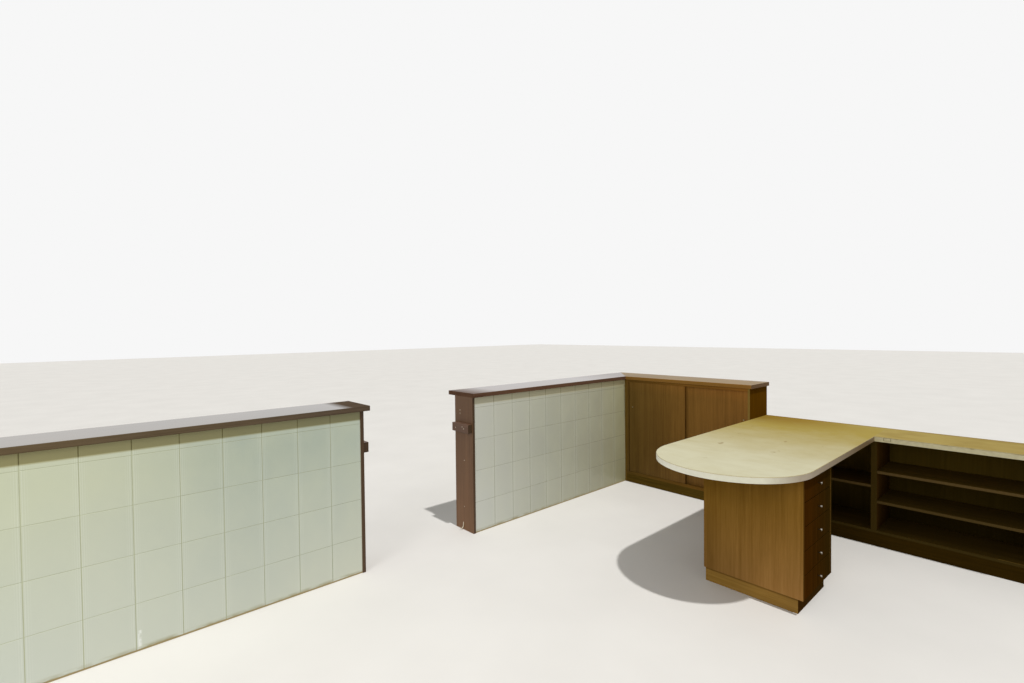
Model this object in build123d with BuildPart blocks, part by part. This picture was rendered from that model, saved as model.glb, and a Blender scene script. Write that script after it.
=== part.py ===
"""Built-in counter of a small shop: two tiled half-walls with a timber capping on either
side of a staff passage, a cupboard with sliding doors, a bow-ended desk on a pedestal of
drawers, and an open shelved bench along the wall.

Millimetres. +X runs along the tiled walls towards the room wall that the cupboard and the
bench stand against, +Y points to the customers' side, +Z is up. The origin is on the floor,
in the middle of the whole counter's length and depth.
"""
import os

from build123d import *

# Tiled half-walls and the passage between them
left_run = 2000.0  # tiled length of the wall left of the passage
passage = 900.0  # clear way between the two end boards
right_wall = 2356.0  # wall from its end board to the room wall
wall_core = 200.0  # blockwork thickness
wall_height = 1067.0  # floor to the underside of the capping
tile = 10.0  # tile and its adhesive
end_board = 22.0  # board that closes each wall at the passage
end_lip = 5.0  # what the end board stands proud of the tile face

# Capping on the walls and the cupboard
capping = 33.0  # thickness
staff_overhang = 22.0  # past the tile face on the staff side
customer_overhang = 92.0  # past the tile face on the customers' side
cupboard_overhang = 20.0  # past the cupboard's front and end
left_capping_reach = 38.0  # past the left end board, into the passage
capping_round = 4.0  # eased long edges

# Battens that once carried the counter flap
batten_rise = 790.0  # underside above the floor
batten_height = 66.0
batten_proud = 37.0
batten_inset = 10.0  # in from each edge of the end board

# Joinery boards
board = 18.0  # cupboard, pedestal and bench boards
back_board = 9.0  # back panels
edge_round = 1.0  # eased edges of the boards

# Cupboard with two sliding doors
cupboard_length = 1280.0
cupboard_depth = 363.0
cupboard_plinth = 85.0  # height
cupboard_shelf_top = 580.0
cupboard_shelf_inset = 75.0  # shelf front behind the cupboard front
filler = 27.0  # scribing strip beside the tiled wall
door = 16.0  # thickness
door_overlap = 40.0  # one door over the other at the middle
door_end_gap = 5.0  # door edge to the side that it closes on
door_play = 1.0  # door face to the side of its groove
door_lift = 0.3  # door foot over the floor of its groove
groove_lip = 5.0  # timber left in front of the first groove
head_rail = 25.0  # height of the grooved head rail
head_groove = 12.0  # depth
head_room = 5.0  # over a door, to the top of its groove
foot_track = 8.0  # height of the grooved track under the doors
foot_groove = 5.0  # depth

# Button pulls of the doors, low enough for one door to pass in front of the other
pull_head = 5.5  # radius
pull_neck = 3.5  # radius
pull_proud = 7.0
pull_disc = 4.0  # thickness of the head
pull_bevel = 1.0  # round the head, front and back
pull_clearance = 5.0  # face of the rear pull to the back of the front door
pull_from_edge = 42.0  # pull to the outer edge of its door
pull_height = 785.0  # above the floor

# Desk
desk_height = 800.0
desk_top = 36.0  # thickness of desk and bench tops
desk_width = 900.0
desk_length = 2150.0  # from the room wall to the tip of the round end
desk_bevel = 1.5  # bevel along the trimmed edge of the laminate

# Pedestal of drawers
pedestal_width = 483.0
pedestal_depth = 567.0
pedestal_from_wall = 1295.0  # its nearer side to the room wall
pedestal_plinth = 92.0  # height
pedestal_side_recess = 24.0  # plinth in from the pedestal's sides
pedestal_toe_recess = 34.0  # plinth in from the drawer faces
desk_drawer_overhang = 28.0  # desk top past the drawer faces
top_rail = 80.0  # width of the rails under the desk top

# Drawers that hang on hardwood runners in grooves ploughed along their sides
drawer_count = 5
drawer_reveal = 5.0  # gap round each drawer front
drawer_box_height = 85.0
drawer_box_lift = 25.0  # box underside over the bottom of its front
drawer_back_space = 31.0  # box back to the pedestal's back
drawer_side_gap = 5.0  # box side to the pedestal's side
drawer_wall = 16.0  # thickness of the box's four walls
drawer_bottom = 6.0  # thickness of the bottom panel
drawer_bottom_rise = 8.0  # bottom panel over the lower edge of the walls
runner_height = 16.0
runner_bite = 7.0  # reach of a runner into its groove
runner_play = 0.3  # runner to the top and to the bottom of its groove
runner_end_play = 1.0  # runner to the depth of its groove
runner_setback = 8.0  # runner nose behind the drawer front
runner_tail = 10.0  # runner end to the pedestal's back
runner_nose = 3.0  # bevel that leads the drawer on
knob_head = 7.0  # radius
knob_neck = 3.0  # radius
knob_proud = 21.0
knob_disc = 10.0  # thickness of the head
knob_bevel = 2.5  # round the head, front and back

# Bench along the room wall
bench_first = 894.0  # length of the carcass behind the desk
bench_second = 906.0  # length of the carcass beside it
bench_depth = 400.0  # carcass front to the room wall
bench_overhang = 20.0  # top past the carcass front
bench_plinth = 97.0  # height
bench_plinth_recess = 5.0
bench_shelf_setback = 3.0
bench_open_shelves = 2  # shelves of the open carcass
bench_desk_shelves = 1  # shelves of the carcass behind the desk

# Planes along X
wall_thickness = wall_core + 2 * tile
overall_x = left_run + 2 * end_board + passage + right_wall
x_left = -overall_x / 2
x_left_end = x_left + left_run
x_passage_left = x_left_end + end_board
x_passage_right = x_passage_left + passage
x_right_start = x_passage_right + end_board
x_room_wall = x_right_start + right_wall
x_cupboard = x_room_wall - cupboard_depth
x_bench = x_room_wall - bench_depth
x_bench_top = x_bench - bench_overhang
x_pedestal_right = x_room_wall - pedestal_from_wall
x_pedestal_left = x_pedestal_right - pedestal_width

# Planes along Y
overall_y = customer_overhang + wall_thickness + cupboard_length + bench_first + bench_second
y_capping_back = overall_y / 2
y_customer = y_capping_back - customer_overhang
y_staff = y_customer - wall_thickness
y_capping_front = y_staff - staff_overhang
y_cupboard_end = y_staff - cupboard_length
y_desk_left = y_cupboard_end
y_desk_right = y_desk_left - desk_width
y_drawer_face = y_desk_right + desk_drawer_overhang
y_pedestal_back = y_drawer_face + pedestal_depth
y_bench_joint = y_cupboard_end - bench_first
y_bench_end = y_bench_joint - bench_second

# Levels
z_capping = wall_height + capping
z_desk_under = desk_height - desk_top
z_bench_floor = bench_plinth + board
z_cupboard_floor = cupboard_plinth + board

os.makedirs("parts", exist_ok=True)


def add_box(x_span, y_span, z_span, mode=Mode.ADD):
    """Add one straight board between a low and a high plane on each axis, or cut its room away."""
    with BuildSketch(Plane.XY.offset(z_span[0])) as outline:
        with Locations(((x_span[0] + x_span[1]) / 2, (y_span[0] + y_span[1]) / 2)):
            Rectangle(x_span[1] - x_span[0], y_span[1] - y_span[0])
    extrude(outline.sketch, amount=z_span[1] - z_span[0], mode=mode)


def turn_knob(foot, outward, neck, head, proud, disc, bevel):
    """Turn a knob on the axis that leaves a face at foot: a neck, and a head bevelled front and back."""
    side_view = Plane(foot, x_dir=(0, 0, 1), z_dir=Vector(0, 0, 1).cross(Vector(*outward)))
    with BuildSketch(side_view) as half_outline:
        with BuildLine():
            Polyline(
                (0, 0),
                (neck, 0),
                (neck, proud - disc),
                (head - bevel, proud - disc),
                (head, proud - disc + bevel),
                (head, proud - bevel),
                (head - bevel, proud),
                (0, proud),
                close=True,
            )
        make_face()
    revolve(half_outline.sketch, axis=Axis(foot, outward))


def keep(builder, label):
    """Name a finished piece and write its file."""
    builder.part.label = label
    export_step(builder.part, f"parts/{label}.step")


# Tiled half-walls: a block core with a skin of tiles on each side
for side, x_start, x_stop in (("left", x_left, x_left_end), ("right", x_right_start, x_room_wall)):
    with BuildPart() as core:
        add_box((x_start, x_stop), (y_staff + tile, y_customer - tile), (0, wall_height))
    keep(core, f"{side}_wall_core")
    with BuildPart() as staff_tiles:
        add_box((x_start, x_stop), (y_staff, y_staff + tile), (0, wall_height))
    keep(staff_tiles, f"{side}_staff_tiles")
    with BuildPart() as customer_tiles:
        add_box((x_start, x_stop), (y_customer - tile, y_customer), (0, wall_height))
    keep(customer_tiles, f"{side}_customer_tiles")

# End boards at the passage, with the battens of the lost flap screwed to them
for side, x_board, x_face, way in (
    ("left", x_left_end, x_passage_left, 1),
    ("right", x_passage_right, x_passage_right, -1),
):
    with BuildPart() as closing_board:
        add_box((x_board, x_board + end_board), (y_staff - end_lip, y_customer + end_lip), (0, wall_height))
        fillet(closing_board.edges().filter_by(Axis.Z), edge_round)
    keep(closing_board, f"{side}_end_board")
    with BuildPart() as batten:
        x_batten = sorted((x_face, x_face + way * batten_proud))
        y_batten = (y_staff - end_lip + batten_inset, y_customer + end_lip - batten_inset)
        add_box(x_batten, y_batten, (batten_rise, batten_rise + batten_height))
        fillet(batten.edges().group_by(Axis.X)[-1 if way > 0 else 0], 2 * edge_round)
    keep(batten, f"{side}_flap_batten")

# Capping: straight on the left wall, mitred round the corner onto the cupboard on the right
x_capping_corner = x_cupboard - cupboard_overhang
y_capping_end = y_cupboard_end - cupboard_overhang
x_left_capping_end = x_passage_left + left_capping_reach

with BuildPart() as left_capping:
    add_box((x_left, x_left_capping_end), (y_capping_front, y_capping_back), (wall_height, z_capping))
    fillet(left_capping.edges().filter_by(Axis.X), capping_round)
keep(left_capping, "left_capping")

with BuildPart() as right_capping:
    with BuildSketch(Plane.XY.offset(wall_height)):
        with BuildLine():
            Polyline(
                (x_passage_right, y_capping_front),
                (x_capping_corner, y_capping_front),
                (x_room_wall, y_capping_back),
                (x_passage_right, y_capping_back),
                close=True,
            )
        make_face()
    extrude(amount=capping)
    fillet(right_capping.edges().filter_by(Axis.X).group_by(Axis.Y)[0], capping_round)
    fillet(right_capping.edges().filter_by(Axis.X).group_by(Axis.Y)[-1], capping_round)
keep(right_capping, "right_capping")

with BuildPart() as cupboard_capping:
    with BuildSketch(Plane.XY.offset(wall_height)):
        with BuildLine():
            Polyline(
                (x_capping_corner, y_capping_front),
                (x_capping_corner, y_capping_end),
                (x_room_wall, y_capping_end),
                (x_room_wall, y_capping_back),
                close=True,
            )
        make_face()
    extrude(amount=capping)
    fillet(cupboard_capping.edges().filter_by(Axis.Y).group_by(Axis.X)[0], capping_round)
keep(cupboard_capping, "cupboard_capping")

# Cupboard carcass
x_cupboard_back = x_room_wall - back_board
y_cupboard_inner_left = y_staff - board
y_cupboard_inner_right = y_cupboard_end + board
y_doorway_left = y_cupboard_inner_left - filler

with BuildPart() as cupboard_left_end:
    add_box((x_cupboard, x_room_wall), (y_cupboard_inner_left, y_staff), (0, wall_height))
keep(cupboard_left_end, "cupboard_left_end")

with BuildPart() as cupboard_right_end:
    add_box((x_cupboard, x_room_wall), (y_cupboard_end, y_cupboard_inner_right), (0, wall_height))
keep(cupboard_right_end, "cupboard_right_end")

with BuildPart() as cupboard_back:
    add_box(
        (x_cupboard_back, x_room_wall),
        (y_cupboard_inner_right, y_cupboard_inner_left),
        (cupboard_plinth, wall_height),
    )
keep(cupboard_back, "cupboard_back")

with BuildPart() as cupboard_base:
    add_box(
        (x_cupboard, x_cupboard_back),
        (y_cupboard_inner_right, y_cupboard_inner_left),
        (cupboard_plinth, z_cupboard_floor),
    )
keep(cupboard_base, "cupboard_base")

with BuildPart() as cupboard_plinth_board:
    add_box(
        (x_cupboard, x_cupboard + board),
        (y_cupboard_inner_right, y_cupboard_inner_left),
        (0, cupboard_plinth),
    )
keep(cupboard_plinth_board, "cupboard_plinth")

with BuildPart() as cupboard_shelf:
    add_box(
        (x_cupboard + cupboard_shelf_inset, x_cupboard_back),
        (y_cupboard_inner_right, y_cupboard_inner_left),
        (cupboard_shelf_top - board, cupboard_shelf_top),
    )
keep(cupboard_shelf, "cupboard_shelf")

with BuildPart() as cupboard_filler:
    add_box(
        (x_cupboard, x_cupboard + board),
        (y_doorway_left, y_cupboard_inner_left),
        (z_cupboard_floor, wall_height),
    )
keep(cupboard_filler, "cupboard_filler")

# Sliding doors in a grooved head rail and a grooved foot track
groove = door + 2 * door_play
x_front_groove = x_cupboard + groove_lip
x_rear_groove = x_front_groove + door + pull_proud + pull_clearance
x_track = (x_cupboard, x_rear_groove + groove + groove_lip)
y_doorway = (y_cupboard_inner_right, y_doorway_left)
z_head_rail = wall_height - head_rail
z_head_groove = z_head_rail + head_groove
z_track = z_cupboard_floor + foot_track
z_track_groove = z_track - foot_groove

for label, z_rail, z_groove in (
    ("cupboard_head_rail", (z_head_rail, wall_height), (z_head_rail, z_head_groove)),
    ("cupboard_track", (z_cupboard_floor, z_track), (z_track_groove, z_track)),
):
    with BuildPart() as grooved_rail:
        add_box(x_track, y_doorway, z_rail)
        for x_groove in (x_front_groove, x_rear_groove):
            add_box((x_groove, x_groove + groove), y_doorway, z_groove, mode=Mode.SUBTRACT)
    keep(grooved_rail, label)

door_width = (y_doorway[1] - y_doorway[0] - 2 * door_end_gap + door_overlap) / 2
z_door = (z_track_groove + door_lift, z_head_groove - head_room)
y_left_door = y_doorway_left - door_end_gap - door_width
y_right_door = y_cupboard_inner_right + door_end_gap

for side, x_groove, y_door, y_pull in (
    ("left", x_front_groove, y_left_door, y_left_door + door_width - pull_from_edge),
    ("right", x_rear_groove, y_right_door, y_right_door + pull_from_edge),
):
    x_door = x_groove + door_play
    with BuildPart() as sliding_door:
        add_box((x_door, x_door + door), (y_door, y_door + door_width), z_door)
        fillet(sliding_door.edges().filter_by(Axis.Z), edge_round)
    keep(sliding_door, f"cupboard_{side}_door")
    with BuildPart() as door_pull:
        pull_foot = (x_door, y_pull, pull_height)
        turn_knob(pull_foot, (-1, 0, 0), pull_neck, pull_head, pull_proud, pull_disc, pull_bevel)
    keep(door_pull, f"cupboard_{side}_pull")

# Desk top with its round end
desk_radius = desk_width / 2
x_bow_centre = x_room_wall - desk_length + desk_radius

with BuildPart() as desk_top_board:
    with BuildSketch(Plane.XY.offset(z_desk_under)):
        with BuildLine():
            Line((x_bow_centre, y_desk_left), (x_room_wall, y_desk_left))
            Line((x_room_wall, y_desk_left), (x_room_wall, y_desk_right))
            Line((x_room_wall, y_desk_right), (x_bench_top, y_desk_right))
            Line((x_bench_top, y_desk_right), (x_bow_centre, y_desk_right))
            ThreePointArc(
                (x_bow_centre, y_desk_right),
                (x_bow_centre - desk_radius, (y_desk_left + y_desk_right) / 2),
                (x_bow_centre, y_desk_left),
            )
        make_face()
    extrude(amount=desk_top)
    free_edges = (desk_top_board.faces().filter_by(Axis.Z).edges()
                  .filter_by(lambda edge: edge.bounding_box().min.X < x_bench_top - edge_round))
    chamfer(free_edges, desk_bevel)
keep(desk_top_board, "desk_top")

# Pedestal carcass
y_pedestal_inner = y_pedestal_back - board
y_drawer_front_back = y_drawer_face + board
x_inner_left = x_pedestal_left + board
x_inner_right = x_pedestal_right - board
z_pedestal_floor = pedestal_plinth + board

with BuildPart() as pedestal_sides:
    for x_side in (x_pedestal_left, x_inner_right):
        add_box((x_side, x_side + board), (y_drawer_face, y_pedestal_back), (pedestal_plinth, z_desk_under))
keep(pedestal_sides, "pedestal_sides")

with BuildPart() as pedestal_back:
    add_box((x_inner_left, x_inner_right), (y_pedestal_inner, y_pedestal_back), (pedestal_plinth, z_desk_under))
keep(pedestal_back, "pedestal_back")

with BuildPart() as pedestal_base:
    add_box(
        (x_inner_left, x_inner_right),
        (y_drawer_front_back + drawer_reveal, y_pedestal_inner),
        (pedestal_plinth, z_pedestal_floor),
    )
keep(pedestal_base, "pedestal_base")

with BuildPart() as pedestal_rails:
    for y_rail in (y_drawer_front_back + drawer_reveal, y_pedestal_inner - top_rail):
        add_box((x_inner_left, x_inner_right), (y_rail, y_rail + top_rail), (z_desk_under - board, z_desk_under))
keep(pedestal_rails, "pedestal_rails")

with BuildPart() as pedestal_plinth_frame:
    x_plinth = (x_pedestal_left + pedestal_side_recess, x_pedestal_right - pedestal_side_recess)
    y_plinth = (y_drawer_face + pedestal_toe_recess, y_pedestal_back)
    add_box(x_plinth, y_plinth, (0, pedestal_plinth))
    with BuildSketch(Plane.XY):
        with Locations(((x_plinth[0] + x_plinth[1]) / 2, (y_plinth[0] + y_plinth[1]) / 2)):
            Rectangle(x_plinth[1] - x_plinth[0] - 2 * board, y_plinth[1] - y_plinth[0] - 2 * board)
    extrude(amount=pedestal_plinth, mode=Mode.SUBTRACT)
keep(pedestal_plinth_frame, "pedestal_plinth")

# Runners: a hardwood strip screwed to each side of the pedestal for every drawer
drawer_height = (z_desk_under - pedestal_plinth - drawer_count * drawer_reveal) / drawer_count
drawer_levels = [pedestal_plinth + step * (drawer_height + drawer_reveal) for step in range(drawer_count)]
runner_width = drawer_side_gap + runner_bite
runner_to_box = (drawer_box_height - runner_height) / 2
y_runner = (y_drawer_front_back + runner_setback, y_pedestal_inner - runner_tail)

with BuildPart() as drawer_runners:
    for z_front in drawer_levels:
        z_runner = z_front + drawer_box_lift + runner_to_box
        for x_runner in (x_inner_left, x_inner_right - runner_width):
            add_box((x_runner, x_runner + runner_width), y_runner, (z_runner, z_runner + runner_height))
    nose_edges = drawer_runners.faces().filter_by(Axis.Y).group_by(Axis.Y)[0].edges().filter_by(Axis.X)
    chamfer(nose_edges, runner_nose)
keep(drawer_runners, "drawer_runners")

# Drawers: a front with a turned knob, and a grooved box behind it with its bottom let into the walls
x_drawer = (x_inner_left + drawer_reveal, x_inner_right - drawer_reveal)
x_box = (x_inner_left + drawer_side_gap, x_inner_right - drawer_side_gap)
y_box = (y_drawer_front_back, y_pedestal_inner - drawer_back_space)
x_inside = (x_box[0] + drawer_wall, x_box[1] - drawer_wall)
y_inside = (y_box[0] + drawer_wall, y_box[1] - drawer_wall)
x_knob = (x_drawer[0] + x_drawer[1]) / 2
groove_depth = runner_bite + runner_end_play

for number, z_front in enumerate(reversed(drawer_levels), start=1):
    with BuildPart() as drawer_front:
        add_box(x_drawer, (y_drawer_face, y_drawer_front_back), (z_front, z_front + drawer_height))
        fillet(drawer_front.faces().sort_by(Axis.Y)[0].edges(), edge_round)
    keep(drawer_front, f"drawer_{number}_front")

    z_box = z_front + drawer_box_lift
    z_panel = z_box + drawer_bottom_rise
    z_top = z_box + drawer_box_height
    z_groove = (z_box + runner_to_box - runner_play, z_box + runner_to_box + runner_height + runner_play)
    with BuildPart() as drawer_box:
        add_box(x_box, y_box, (z_box, z_top))
        add_box(x_inside, y_inside, (z_panel + drawer_bottom, z_top), mode=Mode.SUBTRACT)
        add_box(x_inside, y_inside, (z_box, z_panel), mode=Mode.SUBTRACT)
        for x_groove in ((x_box[0], x_box[0] + groove_depth), (x_box[1] - groove_depth, x_box[1])):
            add_box(x_groove, y_box, z_groove, mode=Mode.SUBTRACT)
    keep(drawer_box, f"drawer_{number}_box")

    with BuildPart() as drawer_knob:
        knob_foot = (x_knob, y_drawer_face, z_front + drawer_height / 2)
        turn_knob(knob_foot, (0, -1, 0), knob_neck, knob_head, knob_proud, knob_disc, knob_bevel)
    keep(drawer_knob, f"drawer_{number}_knob")

# Bench: two carcasses side by side under one top, open at the front
x_bench_back = x_room_wall - back_board
x_bench_shelf = x_bench + bench_shelf_setback
y_first_bay = y_cupboard_end - board
y_last_bay = y_bench_end + board
z_bench_under = z_desk_under

with BuildPart() as bench_top:
    add_box((x_bench_top, x_room_wall), (y_bench_end, y_desk_right), (z_bench_under, desk_height))
    chamfer(bench_top.edges().filter_by(Axis.Y).group_by(Axis.X)[0], desk_bevel)
keep(bench_top, "bench_top")

with BuildPart() as bench_ends:
    for y_end in (y_first_bay, y_bench_end):
        add_box((x_bench, x_room_wall), (y_end, y_end + board), (0, z_bench_under))
keep(bench_ends, "bench_ends")

with BuildPart() as bench_upright:
    y_upright = (y_bench_joint - board, y_bench_joint + board)
    add_box((x_bench, x_bench_back), y_upright, (z_bench_floor, z_bench_under))
keep(bench_upright, "bench_upright")

with BuildPart() as bench_back:
    add_box((x_bench_back, x_room_wall), (y_last_bay, y_first_bay), (bench_plinth, z_bench_under))
keep(bench_back, "bench_back")

with BuildPart() as bench_base:
    add_box((x_bench, x_bench_back), (y_last_bay, y_first_bay), (bench_plinth, z_bench_floor))
keep(bench_base, "bench_base")

with BuildPart() as bench_plinth_boards:
    x_plinth_front = x_bench + bench_plinth_recess
    for x_bearer in (x_plinth_front, x_bench_back - board):
        add_box((x_bearer, x_bearer + board), (y_last_bay, y_first_bay), (0, bench_plinth))
keep(bench_plinth_boards, "bench_plinth")

for bay, shelf_count, y_bay in (
    ("desk", bench_desk_shelves, (y_upright[1], y_first_bay)),
    ("open", bench_open_shelves, (y_last_bay, y_upright[0])),
):
    shelf_pitch = (z_bench_under - z_bench_floor) / (shelf_count + 1)
    with BuildPart() as bench_shelves:
        for step in range(1, shelf_count + 1):
            z_shelf = z_bench_floor + step * shelf_pitch
            add_box((x_bench_shelf, x_bench_back), y_bay, (z_shelf - board, z_shelf))
    keep(bench_shelves, f"bench_{bay}_shelves")
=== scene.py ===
"""The looks of a built-in shop counter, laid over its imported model, in metres.

Two tiled half-walls under a dark capping stand either side of a staff passage. A cupboard with
sliding doors, a round-ended desk on a pedestal of drawers and a shelved bench follow the room wall.
"""
import math

import bpy
import numpy as np
from mathutils import Matrix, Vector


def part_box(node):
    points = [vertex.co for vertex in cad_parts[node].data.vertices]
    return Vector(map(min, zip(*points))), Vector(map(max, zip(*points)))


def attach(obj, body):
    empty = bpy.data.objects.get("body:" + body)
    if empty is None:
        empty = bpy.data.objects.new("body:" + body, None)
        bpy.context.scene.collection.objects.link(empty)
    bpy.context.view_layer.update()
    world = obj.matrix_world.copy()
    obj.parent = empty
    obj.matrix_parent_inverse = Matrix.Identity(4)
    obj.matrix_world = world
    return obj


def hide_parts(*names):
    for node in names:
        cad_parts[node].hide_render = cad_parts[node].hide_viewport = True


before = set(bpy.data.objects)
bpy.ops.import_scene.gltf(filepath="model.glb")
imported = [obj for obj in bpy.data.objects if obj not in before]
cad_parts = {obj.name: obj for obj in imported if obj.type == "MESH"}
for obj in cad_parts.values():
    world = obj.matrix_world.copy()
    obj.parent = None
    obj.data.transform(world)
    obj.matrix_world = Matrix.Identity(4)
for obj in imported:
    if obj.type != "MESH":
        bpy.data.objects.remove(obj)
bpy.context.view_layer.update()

# Camera
# A wide lens, held almost level at eye height on the staff side to the left of the passage. Its place
# and aim were worked out from the straight edges of the counter.
photo_width = 1024  # pixels
focal_length = 503.5  # pixels
sensor_width = 36.0  # millimetres
eye = (-2.1153, -1.7240, 1.5826)
heading = 0.7358  # radians from +Y towards +X
dip = 0.0207
lean = -0.0101

lens = bpy.data.cameras.new("camera")
lens.sensor_width = sensor_width
lens.lens = sensor_width * focal_length / photo_width
camera = bpy.data.objects.new("camera", lens)
level_view = Matrix.Rotation(-heading, 4, "Z") @ Matrix.Rotation(math.pi / 2 - dip, 4, "X")
camera.matrix_world = Matrix.Translation(eye) @ level_view @ Matrix.Rotation(lean, 4, "Z")
bpy.context.scene.collection.objects.link(camera)
bpy.context.scene.camera = camera
bpy.context.scene.view_settings.view_transform = "Standard"

# Light
# Soft light from all round, a wide lamp high beyond the left wall's end that fades towards the bench,
# and one distant lamp, steep enough to lay the narrow shadow that the capping throws on the tiles.
room_light = 0.44
backdrop_light = 0.93
distant_lamp = {"strength": 2.3, "towards_lamp": (-0.02, -0.40, 1.0), "spread": 0.03}
wide_lamp = {"power": 150.0, "place": (-6.5, -1.2, 4.0), "aim": (1.2, 0.2, 0.5), "side": 3.0}


def look_along(direction):
    """The turn that makes a lamp shine along a direction: its own Z points backwards, its X lies level
    and its Y is square to both."""
    shine = np.array(direction, float)
    backwards = -shine / np.linalg.norm(shine)
    sideways = np.cross((0.0, 0.0, 1.0), backwards)
    sideways /= np.linalg.norm(sideways)
    upwards = np.cross(backwards, sideways)
    return Matrix(np.column_stack([sideways, upwards, backwards]).tolist()).to_4x4()


sun = bpy.data.lights.new("distant_lamp", "SUN")
sun.energy = distant_lamp["strength"]
sun.angle = distant_lamp["spread"]
sun_object = bpy.data.objects.new("distant_lamp", sun)
sun_object.matrix_world = look_along([-part for part in distant_lamp["towards_lamp"]])
bpy.context.scene.collection.objects.link(sun_object)

softbox = bpy.data.lights.new("wide_lamp", "AREA")
softbox.energy = wide_lamp["power"]
softbox.size = wide_lamp["side"]
softbox_object = bpy.data.objects.new("wide_lamp", softbox)
softbox_object.matrix_world = (
    Matrix.Translation(wide_lamp["place"])
    @ look_along(np.subtract(wide_lamp["aim"], wide_lamp["place"]))
)
bpy.context.scene.collection.objects.link(softbox_object)


def put(tree, kind, **inputs):
    """Adds a node and sets its inputs by name, from a value or from another node's output."""
    node = tree.nodes.new("ShaderNode" + kind)
    for name, value in inputs.items():
        socket = node.inputs[name.replace("_", " ")]
        if isinstance(value, bpy.types.NodeSocket):
            tree.links.new(value, socket)
        else:
            socket.default_value = value
    return node


def reckon(tree, operation, first, second=0.0, third=0.0):
    """One sum of up to three numbers, such as MULTIPLY, ADD or MAXIMUM."""
    node = tree.nodes.new("ShaderNodeMath")
    node.operation = operation
    for socket, value in zip(node.inputs, (first, second, third)):
        if isinstance(value, bpy.types.NodeSocket):
            tree.links.new(value, socket)
        else:
            socket.default_value = value
    return node.outputs[0]


world = bpy.data.worlds.new("room")
world.use_nodes = True
room = world.node_tree
rays = put(room, "LightPath").outputs
seen = reckon(room, "MAXIMUM", rays["Is Camera Ray"], rays["Is Glossy Ray"])
seen = reckon(room, "MAXIMUM", seen, rays["Is Transmission Ray"])
strength = reckon(room, "MULTIPLY_ADD", seen, backdrop_light - room_light, room_light)
room.links.new(strength, room.nodes["Background"].inputs["Strength"])
room.nodes["Background"].inputs["Color"].default_value = (1.0, 1.0, 1.0, 1.0)
bpy.context.scene.world = world

# Floor
# A plain pale studio floor with faint clouds, wide enough to reach the horizon. It lies a hair below
# the counter's foot, so that no two faces share a place.
floor_reach = 40.0
floor_drop = 0.0005


def tone(red, green, blue):
    """A colour as it looks, 0 to 255, made linear: (c / 255 + 0.055) / 1.055 to the power 2.4."""
    value = (np.array((red, green, blue)) / 255.0 + 0.055) / 1.055
    return (*value**2.4, 1.0)


def finish(name, roughness, **inputs):
    """Starts a material with the shader's own values, and returns it with its node tree and shader."""
    material = bpy.data.materials.new(name)
    material.use_nodes = True
    shader = material.node_tree.nodes["Principled BSDF"]
    shader.inputs["Roughness"].default_value = roughness
    for socket, value in inputs.items():
        shader.inputs[socket.replace("_", " ")].default_value = value
    return material, material.node_tree, shader


def figure(tree, repeats, detail=2.0, roughness=0.5, start=(0.0, 0.0, 0.0)):
    """Noise from 0 to 1 over the piece's own coordinates, with so many repeats a metre on each axis."""
    place = put(tree, "TexCoord").outputs["Object"]
    scaled = put(tree, "Mapping", Vector=place, Scale=repeats, Location=start).outputs[0]
    return put(tree, "TexNoise", Vector=scaled, Scale=1.0, Detail=detail, Roughness=roughness).outputs[0]


def grade(tree, factor, *stops):
    """Turns a number from 0 to 1 into a colour, by stops of a place and a colour."""
    ramp = put(tree, "ValToRGB", Fac=factor)
    points = ramp.color_ramp.elements
    while len(points) < len(stops):
        points.new(1.0)
    for point, (place, colour) in zip(points, stops):
        point.position = place
        point.color = colour
    return ramp.outputs["Color"]


def mix(tree, factor, under, over, way="MIX"):
    """Lays one colour over another by a factor."""
    node = tree.nodes.new("ShaderNodeMix")
    node.data_type = "RGBA"
    node.blend_type = way
    for index, value in ((0, factor), (6, under), (7, over)):
        if isinstance(value, bpy.types.NodeSocket):
            tree.links.new(value, node.inputs[index])
        else:
            node.inputs[index].default_value = value
    return node.outputs[2]


def band(tree, value, low, high):
    """A number that climbs evenly from 0 at low to 1 at high, and stays within them."""
    return put(tree, "MapRange", Value=value, From_Min=low, From_Max=high).outputs[0]


def swell(tree, shader, height, strength, depth):
    """Raises the surface by a pattern, as bump of a depth in metres."""
    bump = put(tree, "Bump", Height=height, Strength=strength, Distance=depth)
    tree.links.new(bump.outputs[0], shader.inputs["Normal"])


def mottled(tree, pattern, dark, light):
    """A colour that goes from dark to light over the middle of a pattern."""
    return grade(tree, pattern, (0.3, dark), (0.7, light))


floor_finish, tree, shader = finish("pale_floor", roughness=0.8)
cloud = figure(tree, (1.5, 1.5, 1.5), detail=3.0)
pale = mottled(tree, cloud, tone(212, 209, 203), tone(217, 214, 208))
tree.links.new(pale, shader.inputs["Base Color"])

floor_mesh = bpy.data.meshes.new("floor")
floor_mesh.from_pydata(
    [(x * floor_reach, y * floor_reach, -floor_drop) for x, y in ((-1, -1), (1, -1), (1, 1), (-1, 1))],
    [],
    [(0, 1, 2, 3)],
)
floor_mesh.materials.append(floor_finish)
floor = bpy.data.objects.new("floor", floor_mesh)
bpy.context.scene.collection.objects.link(floor)

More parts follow.
